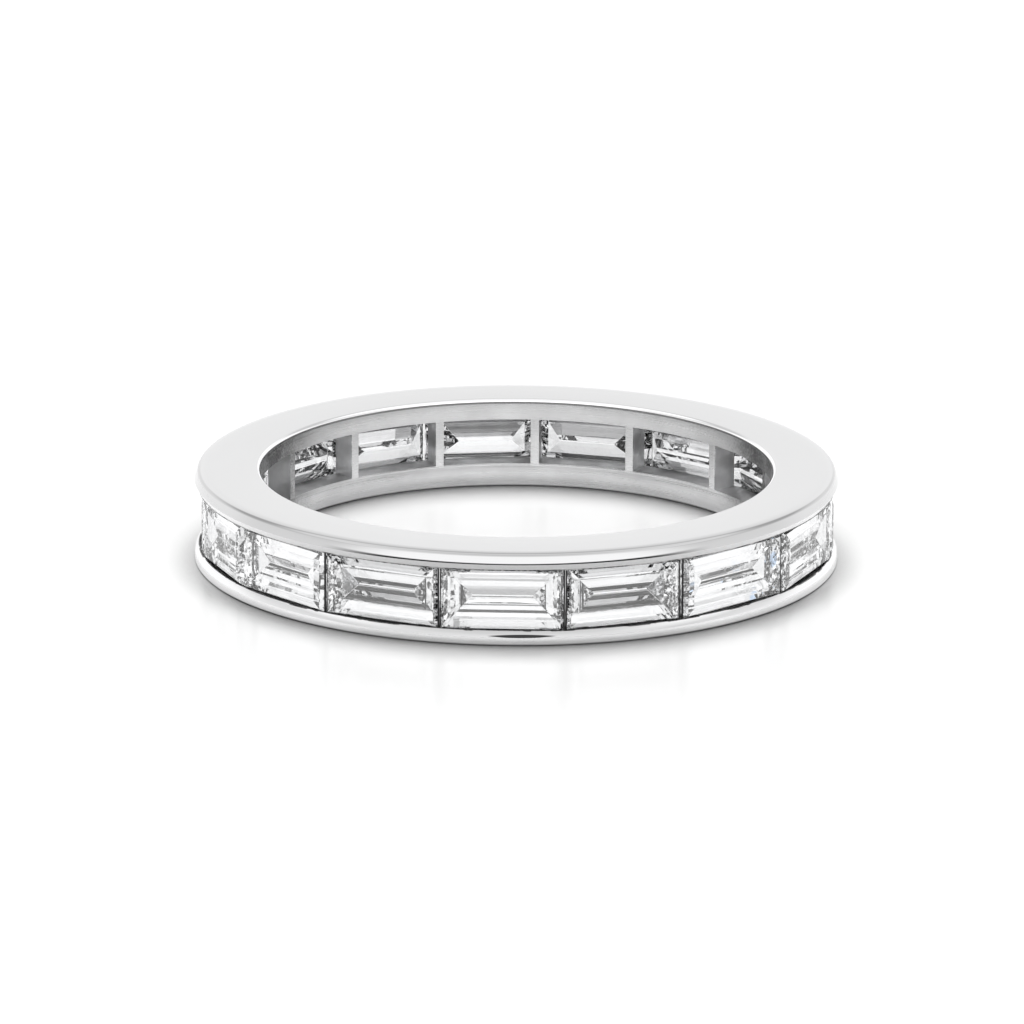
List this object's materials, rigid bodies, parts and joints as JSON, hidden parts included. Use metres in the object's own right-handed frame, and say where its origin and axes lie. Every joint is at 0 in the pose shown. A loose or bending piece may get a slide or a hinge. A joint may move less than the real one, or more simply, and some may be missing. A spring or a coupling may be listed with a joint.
{
  "type": "channel set band ring",
  "caption": "Flat sided eternity ring in polished white metal: baguette stones stand end to end in a channel between its rims, with an open window behind each.",
  "frame": {"origin": "middle of the lower flat face, on the axis of the finger hole", "axes": "+Z along the axis of the finger hole, up from the surface that the ring lies on; -Y towards the stone at the front of the picture"},
  "size_m": [0.0208, 0.0208, 0.003],
  "materials": {
    "platinum": "polished",
    "diamond": "polished"
  },
  "bodies": {
    "root": {"band": "platinum", "stone_01": "diamond", "stone_02": "diamond", "stone_03": "diamond", "stone_04": "diamond", "stone_05": "diamond", "stone_06": "diamond", "stone_07": "diamond", "stone_08": "diamond", "stone_09": "diamond", "stone_10": "diamond", "stone_11": "diamond", "stone_12": "diamond", "stone_13": "diamond", "stone_14": "diamond", "stone_15": "diamond", "stone_16": "diamond"}
  },
  "joints": []
}
